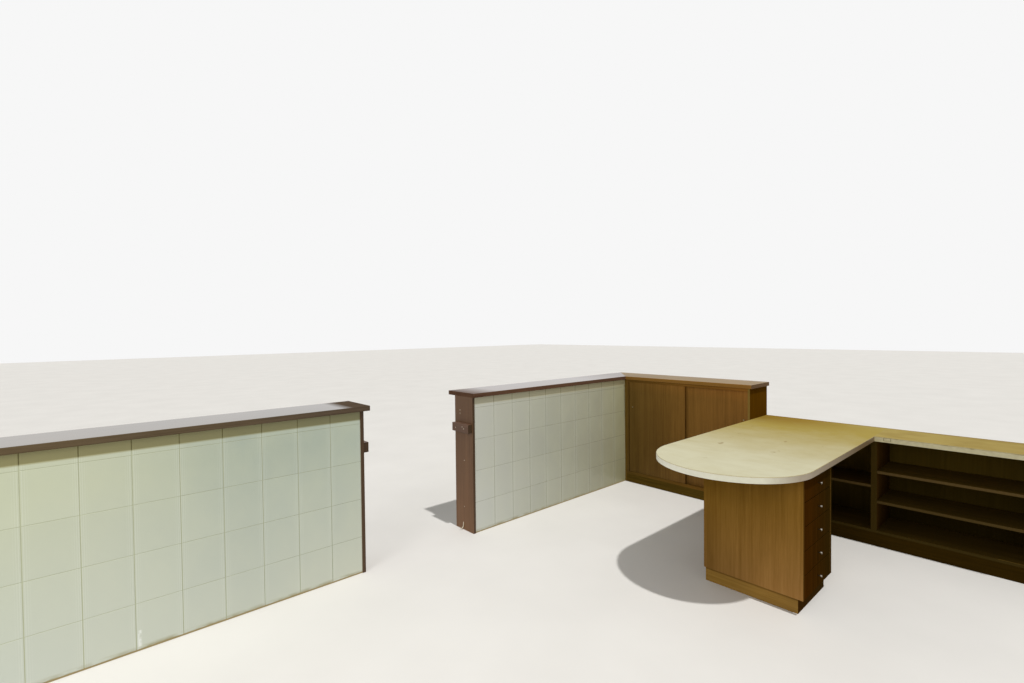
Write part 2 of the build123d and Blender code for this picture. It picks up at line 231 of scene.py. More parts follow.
# Tiled faces
# Glazed wall tiles, 200 mm wide in courses of 248.5 mm over a cut one at the floor, on both sides of
# each half-wall. Each is a block with a rounded arris in a grout bed, and no two are quite in line.
tile_width = 0.200
course_height = 0.2485
first_level_joint = 0.240
least_cut = tile_width / 4  # a joint nearer to the end of the wall than this is left out
upright_joint = 0.0030
level_joint = 0.0015
foot_joint = 0.008
arris = np.array([(0.0, 0.0070), (0.0, 0.0011), (0.0005, 0.0004), (0.0015, 0.0)])  # inset, depth
unevenness = 0.00030
bed_depth = 0.0008
colour_places = (0.0, 0.35, 0.65, 1.0)  # shares of the wall's length, for its four colours
darkest_tile = 0.975  # share of the glaze's colour
lightest_tile = 1.020
cloud_share = 0.16
foot_tint_height = 0.9  # the colours of the foot fade out up to here
rib_pitch = 0.0085
rib_margin = 0.034
rib_share = 0.34
ripple_to_rib = 3.0  # height of the glaze's slow ripple, to that of a rib
strip_under_capping = 0.056  # under the capping: yellowed where never wiped, painted shade on the left, painted light on the right
fade_above = 0.004  # the strip is full down to this far above its lower edge
fade_below = 0.006
filler_share = 0.80
worn_foot = (0.004, 0.030)  # Z, where the dirt is full and where it ends
grout_patches = 0.6
grout_specks = 0.15
grout_foot = (0.008, 0.016)  # Z, the same in the grout
chance = np.random.default_rng(11)


def own_place(tree):
    """The X, Y and Z of a point of the piece."""
    return put(tree, "SeparateXYZ", Vector=put(tree, "TexCoord").outputs["Object"]).outputs


def rest_of(tree, value):
    """One less a number."""
    return reckon(tree, "SUBTRACT", 1.0, value)


def product(tree, first, *others):
    """Numbers multiplied together."""
    for other in others:
        first = reckon(tree, "MULTIPLY", first, other)
    return first


def tinted(tree, colour, tint):
    """A colour multiplied by another, or by a number."""
    return mix(tree, 1.0, colour, tint, "MULTIPLY")


def hump(tree, value, low, high, soft=0.006):
    """One between two places, falling evenly to nothing just outside them."""
    return product(tree, band(tree, value, low - soft, low), band(tree, value, high + soft, high))


def glazed_tile(name, first_joint, head, spread):
    """Pale green glaze that goes from colour to colour along the wall, darker towards its right end as
    painted light falloff. At the foot it turns greyer at the left end, and at the right end it is painted
    lighter on the left wall and darker on the right wall as light falls there. Faint upright ribs fade
    away from the
    upright joints: a sine of x, times 1 less the distance to the joint over the margin, and their crests
    are painted pale as a highlight. Each tile's own tone, slow clouds, a strip at the head that is
    yellowed and painted with shade, and on the right wall painted lighter towards its far end, a smear of
    white filler and worn dirt at the foot are laid over it."""
    material, tree, shader = finish(name, roughness=0.27, Specular_IOR_Level=0.4)
    place = own_place(tree)
    along = band(tree, place["X"], *spread["reach"])
    # Painted light falloff: the colours darken along the wall.
    plain = grade(tree, along, *zip(colour_places, spread["colours"]))
    own_tone = put(tree, "Attribute")
    own_tone.attribute_name = "tone"
    tile_step = lightest_tile - darkest_tile
    own_share = reckon(tree, "MULTIPLY_ADD", own_tone.outputs["Fac"], tile_step, darkest_tile)
    colour = tinted(tree, plain, own_share)
    cloud = band(tree, figure(tree, (6.0, 6.0, 4.0), detail=3.0), 0.35, 0.75)
    colour = mix(tree, product(tree, cloud, cloud_share), colour, tone(204, 206, 172))
    low = rest_of(tree, band(tree, place["Z"], 0.0, foot_tint_height))
    near_foot = product(tree, low, rest_of(tree, along), spread["cool_foot"])
    colour = mix(tree, near_foot, colour, tone(192, 198, 196))
    # Painted light and shade at the far end's foot: lighter on the left wall, darker on the right.
    share, far_colour = spread["far_foot"]
    colour = mix(tree, product(tree, low, along, share), colour, far_colour)
    to_joint = reckon(tree, "PINGPONG", reckon(tree, "SUBTRACT", place["X"], first_joint), tile_width / 2)
    margin = rest_of(tree, band(tree, to_joint, 0.0, rib_margin))
    rib = reckon(tree, "SINE", product(tree, place["X"], 2 * math.pi / rib_pitch))
    # Painted highlight: the rib crests are painted pale.
    rib_highlight = product(tree, band(tree, rib, 0.2, 1.0), margin, rib_share)
    colour = mix(tree, rib_highlight, colour, tone(214, 218, 206))
    # The strip under the capping is yellowed and painted with shade, and on the right wall painted lighter
    # towards its far end.
    below_head = reckon(tree, "SUBTRACT", head, place["Z"])
    strip = rest_of(tree, band(tree, below_head, strip_under_capping - fade_above, strip_under_capping + fade_below))
    strip_colour_with_painted_light = grade(tree, along, *zip((0.0, 1.0), spread["strip"]))
    colour = mix(tree, product(tree, strip, spread["yellowing_and_painted_light"]), colour, strip_colour_with_painted_light)
    if "filler" in spread:
        across, up = (hump(tree, place[axis], *reach) for axis, reach in zip("XZ", spread["filler"]))
        broken = band(tree, figure(tree, (90.0, 90.0, 40.0)), 0.35, 0.55)
        colour = mix(tree, product(tree, across, up, broken, filler_share), colour, tone(224, 226, 220))
    patches = band(tree, figure(tree, (14.0, 14.0, 50.0)), 0.35, 0.65)
    worn = product(tree, rest_of(tree, band(tree, place["Z"], *worn_foot)), patches)
    tree.links.new(mix(tree, worn, colour, tone(142, 132, 88)), shader.inputs["Base Color"])
    ripple = product(tree, figure(tree, (22.0, 22.0, 22.0)), ripple_to_rib)
    relief = reckon(tree, "MULTIPLY_ADD", rib, margin, ripple)
    swell(tree, shader, relief, strength=0.20, depth=0.0004)
    return material


def grout_bed(name, reach, head, colours):
    """Pale cement grout that darkens along the wall as painted light falloff and in patches, olive under
    the capping where it is yellowed and darkened as painted shade, and brown with dirt along the floor."""
    material, tree, shader = finish(name, roughness=0.9)
    place = own_place(tree)
    speck = figure(tree, (160.0, 160.0, 160.0), detail=4.0)
    patch = reckon(tree, "SUBTRACT", figure(tree, (3.0, 3.0, 6.0), start=(4.0, 1.0, 2.0)), 0.5)
    # Painted light falloff: the grout darkens along the wall.
    darkening = reckon(tree, "MULTIPLY_ADD", patch, grout_patches, band(tree, place["X"], *reach))
    plain = grade(tree, darkening, *zip((0.0, 1.0), colours))
    specked = mix(tree, product(tree, speck, grout_specks), plain, tone(130, 126, 96))
    strip_foot = head - strip_under_capping
    strip = band(tree, place["Z"], strip_foot - fade_below, strip_foot + fade_above)
    # Painted shade: the grout under the capping is darkened to olive.
    aged_and_shaded = mix(tree, strip, specked, tone(94, 88, 48))
    foot = rest_of(tree, band(tree, place["Z"], *grout_foot))
    tree.links.new(mix(tree, foot, aged_and_shaded, tone(148, 132, 90)), shader.inputs["Base Color"])
    swell(tree, shader, speck, strength=0.4, depth=0.0006)
    return material


def make_piece(name, points, faces, body, materials, face_materials=None, slot=None, smooth=None):
    """Makes one piece from points and faces, gives it its finishes and lets it ride on a body. Edges
    that turn by less than the smooth angle are shaded as one curve."""
    mesh = bpy.data.meshes.new(name)
    mesh.from_pydata(np.reshape(points, (-1, 3)).tolist(), [], [list(face) for face in faces])
    for material in materials:
        mesh.materials.append(material)
    if face_materials is not None:
        mesh.polygons.foreach_set("material_index", np.asarray(face_materials, np.int32))
    if smooth:
        mesh.shade_smooth()
        mesh.set_sharp_from_angle(angle=smooth)
    piece = bpy.data.objects.new(name, mesh)
    bpy.context.scene.collection.objects.link(piece)
    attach(piece, body)
    return piece


def box_points(low, high):
    """The eight corners of an upright block."""
    x_pair, y_pair, z_pair = zip(low, high)
    return np.array([(x, y, z) for z in z_pair for y in y_pair for x in x_pair])


box_faces = [(0, 2, 3, 1), (4, 5, 7, 6), (0, 1, 5, 4), (1, 3, 7, 5), (3, 2, 6, 7), (2, 0, 4, 6)]


def tube_walls(rings, corners):
    """Four-sided faces between each ring of corners and the next. Returns them with the numbers of the
    corners, one row to a ring."""
    index = np.arange(rings * corners).reshape(rings, corners)
    here, there = index[:-1], index[1:]
    walls = np.stack([here, np.roll(here, -1, 1), np.roll(there, -1, 1), there], axis=-1)
    return walls.reshape(-1, 4), index


def gather(shapes):
    """Joins several shapes into one set of points and faces."""
    points, faces, start = [], [], 0
    for shape_points, shape_faces in shapes:
        points.append(np.reshape(shape_points, (-1, 3)))
        faces += [[start + i for i in face] for face in shape_faces]
        start += len(points[-1])
    return np.vstack(points), faces


def lay_tiles(side, face, joints, inward, glaze, grout):
    """Tiles one face of a half-wall. Each tile is its outline carried inwards and back along the arris
    profile, so a ring of four corners at each inset and depth, closed in front and behind."""
    low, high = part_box(f"{side}_{face}_tiles")
    levels = np.arange(first_level_joint, high.z - least_cut, course_height)
    foot_lines = np.concatenate([[low.z + foot_joint], levels + level_joint / 2])
    head_lines = np.concatenate([levels - level_joint / 2, [high.z]])
    x_low, z_low = np.meshgrid(joints[:-1] + upright_joint / 2, foot_lines)
    x_high, z_high = np.meshgrid(joints[1:] - upright_joint / 2, head_lines)
    count = x_low.size
    out_of_line = chance.uniform(0.0, unevenness, count)
    tones = chance.uniform(0.0, 1.0, count)
    inset, depth = arris[:, 0], arris[:, 1]
    left, right = (edge.reshape(-1, 1) + way * inset for edge, way in ((x_low, 1), (x_high, -1)))
    foot, head = (edge.reshape(-1, 1) + way * inset for edge, way in ((z_low, 1), (z_high, -1)))
    y_face = low.y if inward > 0 else high.y
    back = y_face + inward * (out_of_line.reshape(-1, 1) + depth)
    outline = ((left, foot), (right, foot), (right, head), (left, head))
    rings = np.stack([np.stack([x, back, z], axis=-1) for x, z in outline], axis=2)
    walls, index = tube_walls(len(arris), len(outline))
    tile_faces = np.vstack([walls, index[-1], index[0, ::-1]])[:, ::inward]
    every_face = np.arange(count).reshape(-1, 1, 1) * index.size + tile_faces
    bed_low, bed_high = low.copy(), high.copy()
    if inward > 0:
        bed_low.y += bed_depth
    else:
        bed_high.y -= bed_depth
    bed = box_points(bed_low, bed_high)
    points, faces = gather([(rings, every_face.reshape(-1, 4).tolist()), (bed, box_faces)])
    which = np.repeat([0, 1], [count * len(tile_faces), len(box_faces)])
    finishes = [glaze, grout]
    piece = make_piece(f"{side}_{face}_tiling", points, faces, "counter", finishes, which, "wall_tiles")
    shade = np.concatenate([np.repeat(tones, index.size), np.zeros(len(bed))])
    own_tone = piece.data.attributes.new("tone", "FLOAT", "POINT")
    own_tone.data.foreach_set("value", shade.astype(np.float32))
    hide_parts(f"{side}_{face}_tiles")


# The colours carry painted light falloff along each wall, the far foot is painted lighter on the left wall
# and darker on the right, and the strip under the capping is yellowed and painted with shade, lighter
# towards the right wall's far end.
tile_spread = {
    "left": {
        "colours": (tone(187, 192, 164), tone(184, 189, 166), tone(162, 171, 156), tone(168, 177, 162)),
        "strip": (tone(144, 136, 80), tone(116, 110, 62)), "yellowing_and_painted_light": 0.85,
        "cool_foot": 0.7, "far_foot": (0.62, tone(205, 205, 190)),
        "grout": (tone(177, 181, 150), tone(143, 147, 124)),
        "filler": ((-1.840, -1.832), (0.024, 0.100)),
    },
    "right": {
        "colours": (tone(190, 191, 180), tone(177, 178, 161), tone(170, 169, 147), tone(163, 157, 108)),
        "strip": (tone(170, 163, 126), tone(206, 196, 154)), "yellowing_and_painted_light": 0.55,
        "cool_foot": 0.25, "far_foot": (0.55, tone(104, 98, 64)),
        "grout": (tone(146, 145, 124), tone(104, 101, 78)),
    },
}
for side, way in (("left", -1), ("right", 1)):
    low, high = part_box(f"{side}_staff_tiles")
    start, stop = (high.x, low.x) if way < 0 else (low.x, high.x)
    joints = np.append(np.arange(start, stop - way * least_cut, way * tile_width), stop)[::way]
    glaze = glazed_tile(f"{side}_glaze", start, high.z, {"reach": (low.x, high.x), **tile_spread[side]})
    grout = grout_bed(f"{side}_grout", (low.x, high.x), high.z, tile_spread[side]["grout"])
    lay_tiles(side, "staff", joints, 1, glaze, grout)
    lay_tiles(side, "customer", joints, -1, glaze, grout)

# Wall cores
# Hollow blockwork behind the tiles, from the floor up to the capping. It is rendered with sand and
# cement where its end and top can be seen.
render_coat, tree, shader = finish("render_coat", roughness=0.92)
sand = figure(tree, (220.0, 220.0, 220.0), detail=5.0)
sand_share = 0.5
trowel = figure(tree, (9.0, 9.0, 9.0), detail=3.0)
trowel_to_sand = 1.5  # height of the trowel's marks, to that of the sand
coat = mottled(tree, trowel, tone(150, 147, 138), tone(176, 173, 163))
sanded = mix(tree, product(tree, sand, sand_share), coat, tone(118, 114, 104))
tree.links.new(sanded, shader.inputs["Base Color"])
relief = reckon(tree, "MULTIPLY_ADD", trowel, trowel_to_sand, sand)
swell(tree, shader, relief, strength=0.5, depth=0.0012)


def dress(material, *names):
    """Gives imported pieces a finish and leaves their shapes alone."""
    for name in names:
        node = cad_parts[name]
        node.data.materials.clear()
        node.data.materials.append(material)


dress(render_coat, "left_wall_core", "right_wall_core")

# End boards and battens
# Boards faced with reddish wood print close each wall at the passage. A batten, perhaps once for a
# flap, is screwed to each, and zinc screw heads show pale on the right ones.
print_repeats = ((430.0, 10.0), (75.0, 1.8), (15.0, 0.6))  # pores, streaks and bands, across and along
print_shares = (0.30, 0.38, 0.32)
print_levels = (0.36, 0.64)  # of the layers' sum, where it is darkest and lightest
print_steps = (1.7, 0.4, 2.3)  # between the starts of one layer of noise and the next
edge_streaks = 0.3
clear_coat = {"Coat_Roughness": 0.08, "Coat_IOR": 2.5}
counter_height = 1.1
to_staff = (0, -1, 0)
to_left = (-1, 0, 0)


def facing(tree):
    """The X, Y and Z of the direction that a face looks in."""
    return put(tree, "SeparateXYZ", Vector=put(tree, "NewGeometry").outputs["Normal"]).outputs


def wood_print(name, dark, light, grain, roughness=0.46, gloss=0.25, edges=(), drifts=(), wear=()):
    """Printed wood-grain laminate: pores, streaks and bands of noise, drawn out along the grain, added by
    their shares and graded from dark to light. Soft patches lighten and darken it. Each drift multiplies
    the colour by one tint at a first place on an axis and by another at a second, and evenly between.
    Edge strips cover the faces that look one way, and go from colour to colour in the same manner. Where
    wear is given, a clear coat lies on the faces that look up, and each wear leaves a share of it from
    its second place on."""
    material, tree, shader = finish(name, roughness, Specular_IOR_Level=gloss, **clear_coat)
    layers = []
    for number, (across, along) in enumerate(print_repeats):
        repeats = [along if axis == grain else across for axis in "XYZ"]
        start = [number * step for step in print_steps]
        layers.append(figure(tree, repeats, detail=3.0, roughness=0.55, start=start))
    streaks = product(tree, layers[0], print_shares[0])
    for layer, share in zip(layers[1:], print_shares[1:]):
        streaks = reckon(tree, "MULTIPLY_ADD", layer, share, streaks)
    colour = grade(tree, streaks, *zip(print_levels, (dark, light)))
    patch = figure(tree, (2.2, 2.2, 1.6), start=(5.0, 2.0, 0.0))
    colour = tinted(tree, colour, mottled(tree, patch, (0.86, 0.86, 0.87, 1.0), (1.05, 1.04, 1.01, 1.0)))
    place = own_place(tree)
    for axis, near, far, near_tint, far_tint in drifts:
        tint = mix(tree, band(tree, place[axis], near, far), (*near_tint, 1.0), (*far_tint, 1.0))
        colour = tinted(tree, colour, tint)
    for direction, axis, near, far, near_colour, far_colour in edges:
        towards = put(tree, "VectorMath")
        towards.operation = "DOT_PRODUCT"
        tree.links.new(put(tree, "NewGeometry").outputs["Normal"], towards.inputs[0])
        towards.inputs[1].default_value = direction
        strip = mix(tree, band(tree, place[axis], near, far), near_colour, far_colour)
        strip = mix(tree, product(tree, layers[1], edge_streaks), strip, dark)
        colour = mix(tree, band(tree, towards.outputs["Value"], 0.45, 0.55), colour, strip)
    tree.links.new(colour, shader.inputs["Base Color"])
    if wear:
        coat = band(tree, facing(tree)["Z"], 0.90, 0.99)
        for axis, near, far, share in wear:
            left = reckon(tree, "MULTIPLY_ADD", band(tree, place[axis], near, far), share - 1.0, 1.0)
            coat = product(tree, coat, left)
        tree.links.new(coat, shader.inputs["Coat Weight"])
    swell(tree, shader, layers[0], strength=0.25, depth=0.0003)
    return material


def foot_to_head(foot, head):
    """A drift up the piece, from one share of the colour at the floor to another at the capping."""
    return "Z", 0.0, counter_height, [foot] * 3, [head] * 3


red_print = wood_print(
    "red_brown_print", tone(98, 69, 45), tone(122, 89, 61), "Z", drifts=[foot_to_head(1.08, 0.84)],
    edges=[(to_staff, "Z", 0.0, 1.0, tone(68, 50, 33), tone(56, 42, 26))],
)
batten_print = wood_print(
    "batten_print", tone(80, 57, 42), tone(108, 80, 62), "Y",
    # Painted shade: the faces towards the staff side are painted dark.
    edges=[(to_staff, "Z", 0.7, 0.9, tone(56, 41, 23), tone(56, 41, 23))],
)
dress(red_print, "left_end_board", "right_end_board")
dress(batten_print, "left_flap_batten", "right_flap_batten")

screw_head, tree, shader = finish("zinc_screw", roughness=0.38, Metallic=0.75)
zinc = mottled(tree, figure(tree, (400.0, 400.0, 400.0)), tone(186, 168, 140), tone(222, 212, 194))
tree.links.new(zinc, shader.inputs["Base Color"])


def turned(profile, centre, outward, steps=16):
    """A profile of radius and height, turned about the axis that leaves a face at the centre: each point
    is the centre, plus its height outwards, plus its radius times the cosine and sine of two cross
    directions. A fan of faces about the axis closes either end."""
    outward = np.array(outward, float)
    first = np.cross(outward, (0.0, 0.0, 1.0))
    second = np.cross(outward, first)
    angle = np.linspace(0.0, 2 * math.pi, steps, endpoint=False)
    radius, height = np.array(profile).T
    circle = np.cos(angle)[:, None] * first + np.sin(angle)[:, None] * second
    rings = np.array(centre) + height[:, None, None] * outward + radius[:, None, None] * circle
    poles = np.array(centre) + np.outer(height[[0, -1]], outward)
    points = np.vstack([rings.reshape(-1, 3), poles])
    walls, index = tube_walls(len(profile), steps)
    foot = np.column_stack([np.full(steps, index.size), np.roll(index[0], -1), index[0]])
    head = np.column_stack([np.full(steps, index.size + 1), index[-1], np.roll(index[-1], -1)])
    return points, walls.tolist() + foot.tolist() + head.tolist()


screw_profile = [(0.0038, -0.001), (0.0038, 0.0003), (0.0031, 0.0008), (0.0012, 0.0010)]
board_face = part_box("right_end_board")[0].x
batten_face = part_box("right_flap_batten")[0].x
board_screws = [(1.542, 0.955), (1.542, 0.930), (1.492, 0.558), (1.497, 0.187)]  # Y and Z
batten_screws = [(1.554, 0.819), (1.467, 0.833), (1.448, 0.820)]
screws = [turned(screw_profile, (board_face, y, z), to_left) for y, z in board_screws]
screws += [turned(screw_profile, (batten_face, y, z), to_left) for y, z in batten_screws]
make_piece("end_board_screws", *gather(screws), "counter", [screw_head], slot="knob_metal")

# Hook
# A hook bent from round wire and painted off-white, chipped with use. It is fixed to the foot of the
# right end board, and its point turns up again.
wire_radius = 0.0032
wire_fineness = 4  # points of the wire to each one of the line
hook_line = np.array([
    (0.0034, 1.508, 0.060), (0.0034, 1.509, 0.046), (0.0036, 1.510, 0.032), (0.0075, 1.511, 0.020),
    (0.0150, 1.512, 0.0125), (0.0240, 1.513, 0.0125), (0.0310, 1.514, 0.0190),
])  # distance out from the board, then Y and Z


def closed_tube(rings, corners):
    """The faces of a tube of rings, with one more face over each end."""
    walls, index = tube_walls(rings, corners)
    return walls.tolist() + [index[0, ::-1].tolist(), index[-1].tolist()]


def bar(path, radius, steps=12):
    """A round bar along a path: at each point a circle across it, the radius times the cosine along Y,
    made square to the path, plus the radius times the sine along the direction square to both."""
    run = np.gradient(path, axis=0)
    run /= np.linalg.norm(run, axis=1, keepdims=True)
    sideways = np.array((0.0, 1.0, 0.0)) - run * run[:, 1:2]
    sideways /= np.linalg.norm(sideways, axis=1, keepdims=True)
    across = np.cross(run, sideways)
    angle = np.linspace(0.0, 2 * math.pi, steps, endpoint=False)[None, :, None]
    rings = path[:, None] + radius * (np.cos(angle) * sideways[:, None] + np.sin(angle) * across[:, None])
    return rings, closed_tube(len(path), steps)


wire = np.column_stack([board_face - hook_line[:, 0], hook_line[:, 1:]])
finer = np.linspace(0, len(wire) - 1, wire_fineness * len(wire))
wire = np.column_stack([np.interp(finer, np.arange(len(wire)), column) for column in wire.T])
hook_paint, tree, shader = finish("off_white_paint", roughness=0.4)
chipped = band(tree, figure(tree, (120.0, 120.0, 120.0), detail=3.0), 0.60, 0.66)
tree.links.new(mix(tree, chipped, tone(206, 196, 172), tone(132, 118, 96)), shader.inputs["Base Color"])
hook = bar(wire, wire_radius)
make_piece("end_board_hook", *hook, "counter", [hook_paint], slot="knob_metal", smooth=0.7)

# Capping
# Dark wood-print tops, eased along their long edges and mitred over the corner of the cupboard. The
# print runs along each length, and on the walls a clear coat lies over it, worn at the passage.
left_capping_print = wood_print(
    "left_capping_print", tone(84, 71, 50), tone(108, 93, 70), "X", 0.30, gloss=0.0,
    drifts=[("X", -2.6, -0.6, (1.0, 1.0, 1.0), (0.74, 0.72, 0.88))], wear=[("X", -0.78, -0.70, 0.0)],
)
right_capping_print = wood_print(
    "right_capping_print", tone(80, 56, 42), tone(104, 78, 60), "X", 0.30, gloss=0.0,
    wear=[("X", 0.55, 0.30, 0.30), ("X", 1.7, 2.3, 0.75)],
)
# Partly painted reflection of the yellow wall: the print is lighter and yellower than the wall cappings.
cupboard_capping_print = wood_print(
    "cupboard_capping_print", tone(112, 86, 42), tone(142, 114, 62), "Y", 0.35, gloss=0.05,
    edges=[
        (to_left, "Y", 0.1, 1.4, tone(146, 104, 48), tone(138, 99, 44)),
        # Painted shade: the end face towards the staff side is painted dark.
        (to_staff, "Z", 1.0, counter_height, tone(80, 50, 6), tone(84, 54, 8)),
    ],
)
dress(left_capping_print, "left_capping")
dress(right_capping_print, "right_capping")
dress(cupboard_capping_print, "cupboard_capping")

# Cupboard
# A carcass of walnut-print board with two sliding doors, each with a small satin aluminium pull. The
# doors, ends and scribing strip have upright grain, and the plinth's runs along the floor. The doors and
# head rail are painted darker towards the foot and the left end and lighter under the capping, as light
# falls, and the ends are painted darker and yellower as shade and yellow reflected light.
# Painted light and shade for the doors and rail: darker towards the left end and the foot, lighter under
# the capping.
left_to_right = ("Y", 1.30, 0.15, (0.78, 0.86, 0.86), (1.38, 1.24, 1.17))
lit_head = ("Z", 0.94, 1.04, (1.0, 1.0, 1.0), (1.22, 1.14, 1.14))
dull = {"roughness": 0.6, "gloss": 0.0}  # for boards with no shine
door_print = wood_print(
    "door_print", tone(102, 72, 25), tone(130, 95, 42), "Z", gloss=0.10,
    drifts=[foot_to_head(0.76, 1.04), left_to_right, lit_head],
)
# Painted shade and yellow reflected light: the ends are darker and yellower than the doors.
end_print = wood_print(
    "cupboard_end_print", tone(74, 46, 2), tone(94, 62, 6), "Z", **dull,
    edges=[(to_left, "Y", 1.3, 0.2, tone(108, 84, 33), tone(142, 117, 60))],
)
back_print = wood_print("cupboard_back_print", tone(66, 40, 3), tone(86, 56, 8), "Z", **dull)
level_print = wood_print("level_board_print", tone(70, 54, 16), tone(94, 73, 27), "Y", **dull)
rail_print = wood_print(
    "rail_print", tone(98, 70, 26), tone(124, 92, 42), "Y", **dull,
    drifts=[left_to_right, foot_to_head(0.86, 1.0), lit_head],
)
dress(door_print, "cupboard_left_door", "cupboard_right_door", "cupboard_filler")
dress(end_print, "cupboard_left_end", "cupboard_right_end")
dress(back_print, "cupboard_back")
dress(level_print, "cupboard_plinth", "cupboard_shelf")
dress(rail_print, "cupboard_head_rail", "cupboard_track", "cupboard_base")

pull_metal, tree, shader = finish("satin_aluminium", roughness=0.32, Metallic=0.9)
satin = mottled(tree, figure(tree, (300.0, 300.0, 300.0)), tone(146, 134, 104), tone(178, 166, 134))
tree.links.new(satin, shader.inputs["Base Color"])
dress(pull_metal, "cupboard_left_pull", "cupboard_right_pull")

# Desk top
# A thick board under cream laminate, with a whiter strip glued round its edge. A fine dark line of
# laminate core shows between the two, and the top has yellowed towards the room wall, partly as
# painted shade and yellow light reflected from that wall.
desk_low, desk_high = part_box("desk_top")
bench_low, bench_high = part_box("bench_top")
strip_proud = 0.0006
strip_top_gap = 0.0019
strip_foot_gap = 0.0008
bow_steps = 96
wall_dirt = (bench_high.x - 0.030, bench_high.x - 0.006)  # X, by the room wall
corner_shade_and_reflection = {"X": (2.15, 2.50), "Y": (-0.70, -0.20)}  # by the room wall and the cupboard, painted shade and yellow reflected light
rim_depth = 0.010
rim_wear = 3  # times the wear below it
outline_width = 0.09  # share of the repair's half size
outline_share = 0.75
clean_reach = (-0.55, -0.20)  # Y, towards the cupboard
clean_tint = (1.23, 1.22, 1.28)
drawer_side_shade_reach = (-0.68, -0.95)  # how far a face looks to the drawer side
drawer_side_shade_tint = (0.53, 0.455, 0.42)


def worn_laminate(name, axis, reach, fresh, aged_and_shaded, grime):
    """Laminate on the faces that look up, that ages and darkens from one end of an axis to the other; on
    the desk this is partly painted shade and yellow light reflected from the room wall. Over it lie
    specks, wiping streaks, a few brown stains, blotches of grime, a dirt line along the room wall and, by
    the cupboard, a corner painted dark and yellow as shade and reflected light, each by its share. The
    laminate's core shows on the bevel and bare board below, told apart by how far the face looks up."""
    material, tree, shader = finish(name, roughness=0.70, Specular_IOR_Level=0.0)
    place = own_place(tree)
    cloud = figure(tree, (4.0, 4.0, 4.0), detail=4.0, roughness=0.6)
    darkening = band(tree, place[axis], *reach)
    darkening = reckon(tree, "MULTIPLY_ADD", reckon(tree, "SUBTRACT", cloud, 0.5), 0.5, darkening)
    colour = grade(tree, darkening, (0.0, fresh), (1.0, aged_and_shaded))
    speck = figure(tree, (420.0, 420.0, 420.0))
    wipe = figure(tree, (26.0, 5.0, 5.0), detail=4.0, start=(2.0, 0.0, 0.0))
    stain = figure(tree, (8.0, 13.0, 8.0), detail=3.0, start=(3.0, 7.0, 1.0))
    blotch = figure(tree, (9.0, 5.0, 5.0), detail=5.0, roughness=0.6, start=(6.0, 3.0, 1.0))
    corner = product(tree, *(band(tree, place[letter], *ends) for letter, ends in corner_shade_and_reflection.items()))
    for where, share, dirt in (
        (speck, 0.14, tone(150, 136, 96)),
        (band(tree, wipe, 0.45, 0.80), 0.09, tone(148, 130, 84)),
        (band(tree, stain, 0.69, 0.76), 0.5, tone(120, 92, 44)),
        (band(tree, blotch, 0.42, 0.66), grime, tone(112, 88, 40)),
        (band(tree, place["X"], *wall_dirt), 0.6, tone(112, 84, 34)),
        # Painted shade and yellow reflected light in the corner by the cupboard.
        (corner, 0.62, tone(128, 92, 4)),
    ):
        colour = mix(tree, product(tree, where, share), colour, dirt)
    up = facing(tree)["Z"]
    edged = mix(tree, band(tree, up, 0.85, 0.95), tone(160, 146, 104), colour)
    board = mix(tree, speck, tone(134, 112, 78), tone(158, 136, 100))
    under = rest_of(tree, band(tree, up, -0.95, -0.85))
    tree.links.new(mix(tree, under, edged, board), shader.inputs["Base Color"])
    swell(tree, shader, speck, strength=0.1, depth=0.0002)
    return material


# Partly painted shade and yellow reflected light: the desk darkens and yellows towards the room wall.
desk_laminate = worn_laminate(
    "desk_laminate", "X", (0.85, 2.15), tone(198, 194, 166), tone(160, 141, 72), grime=0.05
)
dress(desk_laminate, "desk_top")


def edge_lipping(name, axis, reach, fresh, aged_and_shaded, wear, patch=None):
    """Pale edge strip, mottled and dirty along its upper edge, that darkens along an axis, on the desk as
    painted shade. Faces that look to the drawer side are painted darker as shade, and it is cleaner
    towards the cupboard. A rectangular repair is outlined where the larger of its two relative distances
    is one."""
    material, tree, shader = finish(name, roughness=0.42, Specular_IOR_Level=0.35)
    place = own_place(tree)
    plain = grade(tree, band(tree, place[axis], *reach), (0.0, fresh), (1.0, aged_and_shaded))
    mottle = figure(tree, (40.0, 40.0, 60.0), detail=4.0)
    grubby = mix(tree, product(tree, band(tree, mottle, 0.35, 0.75), wear), plain, tone(150, 136, 96))
    rim = product(tree, band(tree, place["Z"], desk_high.z - rim_depth, desk_high.z), mottle)
    rimmed = mix(tree, product(tree, rim, rim_wear * wear), grubby, tone(146, 126, 78))
    if patch:
        distances = []
        for letter, centre, half in patch:
            apart = reckon(tree, "ABSOLUTE", reckon(tree, "SUBTRACT", place[letter], centre))
            distances.append(reckon(tree, "DIVIDE", apart, half))
        outline = reckon(tree, "COMPARE", reckon(tree, "MAXIMUM", *distances), 1.0, outline_width)
        rimmed = mix(tree, product(tree, outline, outline_share), rimmed, tone(88, 72, 34))
    clean = mix(tree, band(tree, place["Y"], *clean_reach), (1.0, 1.0, 1.0, 1.0), (*clean_tint, 1.0))
    rimmed = tinted(tree, rimmed, clean)
    # Painted shade on the faces that look to the drawer side.
    shaded_side = tinted(tree, rimmed, (*drawer_side_shade_tint, 1.0))
    to_drawers = band(tree, facing(tree)["Y"], *drawer_side_shade_reach)
    tree.links.new(mix(tree, to_drawers, rimmed, shaded_side), shader.inputs["Base Color"])
    swell(tree, shader, mottle, strength=0.1, depth=0.0003)
    return material


